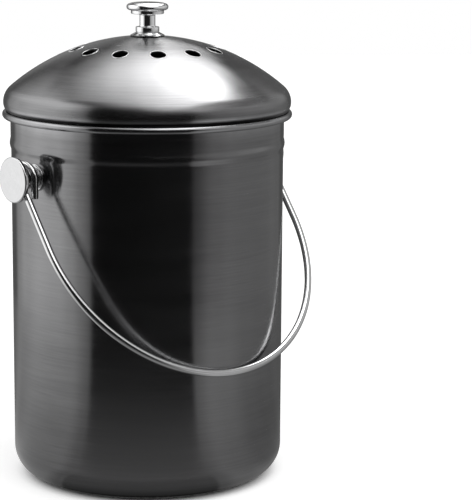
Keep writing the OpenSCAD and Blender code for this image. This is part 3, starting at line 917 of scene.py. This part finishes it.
# Studio. A pale table that can be looked through from below, white surroundings, a
# lamp overhead and reflector cards, which the metal sees and the camera doesn't.
VIEW_TURN = -38.3
CAMERA_AT = (0.0, -1300.0, 388.2)
LOOK_YAW = 2.452
LOOK_PITCH = 10.751
LOOK_ROLL = 0.392
FOCAL_PX = 2098.3
FRAME_PX = 500
SENSOR = 36
TABLE_GLOW = 0.48
# Radii over which the table's glow fades in, which paints a shadow round the bin's foot.
TABLE_SHADE = (0.07, 0.083)


def seen_from(turn, radius, height):
    """Place on a circle round the bin: turn is in degrees to the right of the camera."""
    a = math.radians(-90 + VIEW_TURN + turn)
    return Vector((radius * math.cos(a), radius * math.sin(a), height))


yaw, pitch, roll = (math.radians(a) for a in (LOOK_YAW, LOOK_PITCH, LOOK_ROLL))
ahead = Vector((math.sin(yaw) * math.cos(pitch), math.cos(yaw) * math.cos(pitch),
                -math.sin(pitch)))
right = Vector((math.cos(yaw), -math.sin(yaw), 0))
above = right.cross(ahead)
level_right = right * math.cos(roll) + above * math.sin(roll)
level_up = above * math.cos(roll) - right * math.sin(roll)
aim = Matrix((level_right, level_up, -ahead)).transposed().to_4x4()
view_turn = Matrix.Rotation(math.radians(VIEW_TURN), 4, "Z")
lens = bpy.data.cameras.new("Camera")
lens.sensor_fit = "AUTO"
lens.sensor_width = SENSOR
lens.lens = FOCAL_PX / FRAME_PX * SENSOR
lens.clip_end = 20
camera = bpy.data.objects.new("Camera", lens)
camera.matrix_world = view_turn @ Matrix.Translation(Vector(CAMERA_AT) * MM) @ aim
bpy.context.scene.collection.objects.link(camera)
bpy.context.scene.camera = camera


def seen_directly(tree):
    """1 where the camera, a reflection or a clear piece sees the surface, and 0 for light."""
    add, sums, join = tree_links(tree)
    rays = add("ShaderNodeLightPath")
    seen = add("ShaderNodeMath", operation="ADD", use_clamp=True)
    join(sums("ADD", rays.outputs["Is Camera Ray"], rays.outputs["Is Glossy Ray"]), seen.inputs[0])
    join(rays.outputs["Is Transmission Ray"], seen.inputs[1])
    return seen.outputs[0]


table, tree = cleared_material("Pale table")
add, sums, join = tree_links(tree)
end = add("ShaderNodeOutputMaterial")
matt = add("ShaderNodeBsdfPrincipled")
matt.inputs["Base Color"].default_value = (0.86, 0.86, 0.86, 1)
matt.inputs["Roughness"].default_value = 0.6
glow = add("ShaderNodeEmission")
where = add("ShaderNodeTexCoord")
from_bin = add("ShaderNodeVectorMath", operation="LENGTH")
join(where.outputs["Object"], from_bin.inputs[0])
# The glow fades out near the bin's foot, which paints a shadow round it on the table.
clear = remapped(tree, from_bin.outputs["Value"], *TABLE_SHADE)
clear.interpolation_type = "SMOOTHSTEP"
join(sums("MULTIPLY", sums("MULTIPLY", seen_directly(tree), TABLE_GLOW), clear.outputs[0]),
     glow.inputs["Strength"])
both = add("ShaderNodeAddShader")
join(matt.outputs[0], both.inputs[0])
join(glow.outputs[0], both.inputs[1])
under = add("ShaderNodeNewGeometry")
one_sided = add("ShaderNodeMixShader")
join(under.outputs["Backfacing"], one_sided.inputs[0])
join(both.outputs[0], one_sided.inputs[1])
join(add("ShaderNodeBsdfTransparent").outputs[0], one_sided.inputs[2])
join(one_sided.outputs[0], end.inputs["Surface"])
bm = bmesh.new()
corners = [seen_from(t, r, 0) for t, r in ((-38, 0.72), (38, 0.72), (100, 1.6), (150, 3.2),
                                           (210, 3.2), (260, 1.6))]
bm.faces.new([bm.verts.new(c) for c in corners])
floor = as_piece(bm, "table")
if floor.data.polygons[0].normal.z < 0:
    floor.data.flip_normals()
floor.data.materials.append(table)


def brightness(tree, position, levels, peak=10.0):
    """A ramp of (position, brightness) pairs along a card."""
    add, sums, join = tree_links(tree)
    ramp = add("ShaderNodeValToRGB")
    ramp.color_ramp.interpolation = "EASE"
    while len(ramp.color_ramp.elements) < len(levels):
        ramp.color_ramp.elements.new(0.5)
    for element, (at, value) in zip(ramp.color_ramp.elements, levels):
        element.position = at
        element.color = (value / peak, value / peak, value / peak, 1)
    join(position, ramp.inputs["Fac"])
    return sums("MULTIPLY", ramp.outputs["Color"], peak)


def card(name, corners, wide, deep, lights):
    """A studio card that only reflections see. Each light is a ramp across it and a ramp up it."""
    material, tree = cleared_material(name)
    add, sums, join = tree_links(tree)
    end = add("ShaderNodeOutputMaterial")
    light = add("ShaderNodeEmission")
    along = add("ShaderNodeUVMap")
    parts = add("ShaderNodeSeparateXYZ")
    join(along.outputs[0], parts.inputs[0])
    total = 0.0
    for across, up in lights:
        total = sums("MULTIPLY_ADD", brightness(tree, parts.outputs["X"], across),
                     brightness(tree, parts.outputs["Y"], up, peak=1.0), total)
    join(total, light.inputs["Strength"])
    join(light.outputs[0], end.inputs["Surface"])
    material.cycles.emission_sampling = "NONE"
    bm = bmesh.new()
    rows = [[bm.verts.new(corners(i / wide, j / deep)) for i in range(wide + 1)]
            for j in range(deep + 1)]
    uv = bm.loops.layers.uv.new("UVMap")
    for j in range(deep):
        for i in range(wide):
            face = bm.faces.new((rows[j][i], rows[j][i + 1], rows[j + 1][i + 1], rows[j + 1][i]))
            for loop, (u, v) in zip(face.loops, ((i, j), (i + 1, j), (i + 1, j + 1), (i, j + 1))):
                loop[uv].uv = (u / wide, v / deep)
    mesh = bpy.data.meshes.new(name)
    bm.to_mesh(mesh)
    bm.free()
    piece = bpy.data.objects.new(name, mesh)
    bpy.context.scene.collection.objects.link(piece)
    mesh.materials.append(material)
    piece.visible_camera = False
    piece.visible_diffuse = False
    piece.visible_shadow = False
    piece.visible_transmission = False


# Reflector ring round the bin, as (turn, top, brightness below, brightness above):
# black in front, white on the left, grey on the right and dark behind. It gives the
# bin its black middle, its grey right side and its outlines.
REFLECTOR_R = 0.55
reflector = ((-180, 0.46, 0.12, 0.21), (-165, 0.54, 0.12, 0.33), (-152, 0.62, 0.12, 0.1),
             (-142, 0.66, 0.14, 0.5), (-131, 0.72, 0.6, 1.05), (-118, 0.8, 1.0, 1.65),
             (-96, 0.82, 1.35, 1.85), (-74, 0.8, 1.25, 1.9), (-63, 0.78, 0.95, 1.6),
             (-53.5, 0.74, 0.6, 0.9), (-45.4, 0.72, 0.36, 0.3), (-43.8, 0.7, 0.012, 0.01),
             (34.2, 0.46, 0.015, 0.01), (36, 0.44, 0.12, 0.2), (53.5, 0.42, 0.34, 0.44),
             (68, 0.4, 0.41, 0.5), (84, 0.4, 0.4, 0.58), (103, 0.42, 0.38, 0.65),
             (119, 0.46, 0.36, 0.53), (136, 0.56, 0.26, 0.55), (146, 0.58, 0.12, 0.2),
             (163, 0.52, 0.12, 0.13), (180, 0.46, 0.12, 0.21))


def reflector_place(u, v):
    """Place on the reflector ring, whose top edge rises and falls round the bin."""
    turn = 360 * u - 180
    for (a, low, *_), (b, high, *_) in zip(reflector, reflector[1:]):
        if a <= turn <= b:
            return seen_from(turn, REFLECTOR_R, v * (low + (high - low) * (turn - a) / (b - a)))


def all_round(levels):
    """Ramp of (turn, brightness) pairs all round the bin."""
    return tuple(((turn + 180) / 360, value) for turn, value in levels)


card("Reflector ring", reflector_place, wide=180, deep=1, lights=(
    (all_round((turn, below) for turn, _, below, _ in reflector),
     ((0, 1.0), (0.42, 1.0), (0.62, 0.0))),
    (all_round((turn, above) for turn, _, _, above in reflector),
     ((0, 0.0), (0.42, 0.0), (0.62, 1.0)))))

# Grey sheets on the table round the bin. The one in front fades out towards the
# camera, and those at the sides run on under the reflector.
SHEETS_IN = 0.075
SHEETS_WIDE = 0.475
SHEETS_Z = 0.001
front_sheet = ((-180, 0.0), (-47, 0.0), (-43, 0.17), (20, 0.17), (33, 0.18), (37, 0.0), (180, 0.0))
side_sheets = ((-180, 0.1), (-150, 0.14), (-125, 0.4), (-100, 0.6), (-60, 0.5), (-46, 0.28),
               (-43, 0.0), (33, 0.0), (37, 0.34), (48, 0.46), (62, 0.42), (84, 0.3), (103, 0.25),
               (119, 0.2), (150, 0.1), (180, 0.1))


def sheets_place(u, v):
    """Place on the grey sheets, from behind round the bin and outwards."""
    return seen_from(360 * u - 180, SHEETS_IN + SHEETS_WIDE * v, SHEETS_Z)


card("Grey sheets", sheets_place, wide=120, deep=4, lights=(
    (all_round(front_sheet),
     ((0, 0.3), (0.03, 1.0), (0.12, 1.5), (0.24, 1.05), (0.7, 0.18), (1, 0.1))),
    (all_round(side_sheets), ((0, 0.5), (0.03, 0.9), (0.2, 0.9), (0.55, 1.2), (1, 1.4)))))

# Ceiling. A big softbox hangs over the bin and to its right, a strip light reaches
# back with dark gaps at its sides, and a weak fill hangs in front on the right.
CEILING_Z = 1.19
CEILING_HALF = 2.28


def ceiling_place(u, v):
    """Place on the ceiling, from left to right and from front to back."""
    return (seen_from(90, CEILING_HALF * (2 * u - 1), CEILING_Z)
            + seen_from(180, CEILING_HALF * (2 * v - 1), 0))


def spread_out(*levels):
    """Ramp of (distance from the middle in metres, brightness) pairs over the ceiling."""
    return tuple((0.5 + at / CEILING_HALF / 2, value) for at, value in levels)


card("Ceiling", ceiling_place, wide=1, deep=1, lights=(
    (spread_out((-2.28, 0.6), (-0.85, 1.2), (-0.57, 0.5), (-0.38, 1.6), (-0.19, 3.3), (0, 4.6),
                (0.19, 7.2), (0.38, 8.0), (0.52, 8.2), (0.665, 1.2), (0.85, 0.0), (2.28, 0.0)),
     spread_out((-2.28, 0.0), (-0.95, 0.06), (-0.47, 0.39), (0, 0.4), (0.285, 1.0), (0.57, 1.0),
                (0.76, 0.3), (0.95, 0.56), (1.23, 0.02), (2.28, 0.0))),
    (spread_out((-2.28, 3.0), (-0.95, 3.0), (-0.71, 0.0), (-0.45, 0.02), (-0.34, 0.27),
                (-0.24, 0.05), (-0.11, 1.0), (0, 4.2), (0.14, 2.8), (0.285, 1.6), (0.4, 2.2),
                (0.5, 0.0), (0.62, 0.0), (0.85, 3.0), (2.28, 3.0)),
     spread_out((-2.28, 0.1), (0.47, 0.12), (0.76, 0.12), (1.04, 0.08), (1.42, 0.2), (1.9, 1.0),
                (2.28, 1.0))),
    (spread_out((-2.28, 0.0), (-0.1, 0.1), (0.4, 1.0), (1.3, 1.0), (2.1, 0.2), (2.28, 0.0)),
     spread_out((-2.28, 1.0), (-1.2, 1.0), (-0.5, 0.5), (0.1, 0.0), (2.28, 0.0)))))

# Lamp and surroundings. One soft lamp over the lid and a grey world light the object
# evenly, and the camera and the reflections see the world as plain white.
LAMP_AIM_Z = 0.22
REAL_LIGHT = 0.7
SHOWN_WHITE = 0.3


def softbox(name, turn, height_angle, distance, size, power):
    """A square lamp with a soft edge, aimed at the lid."""
    data = bpy.data.lights.new(name, "AREA")
    data.shape = "SQUARE"
    data.size = size
    data.energy = power
    lamp = bpy.data.objects.new(name, data)
    e = math.radians(height_angle)
    target = Vector((0, 0, LAMP_AIM_Z))
    lamp.location = target + seen_from(turn, distance * math.cos(e), distance * math.sin(e))
    lamp.rotation_euler = (lamp.location - target).to_track_quat("Z", "Y").to_euler()
    lamp.visible_glossy = False
    bpy.context.scene.collection.objects.link(lamp)


softbox("Overhead softbox", turn=36, height_angle=74, distance=1.0, size=0.7, power=5.0)

world = bpy.data.worlds.new("White surroundings")
world.use_nodes = True
tree = world.node_tree
add, sums, join = tree_links(tree)
air = tree.nodes["Background"]
air.inputs["Color"].default_value = (1, 1, 1, 1)
join(sums("MULTIPLY_ADD", seen_directly(tree), SHOWN_WHITE, REAL_LIGHT), air.inputs["Strength"])
world.cycles.sampling_method = "NONE"
bpy.context.scene.world = world
bpy.context.scene.view_settings.view_transform = "Standard"
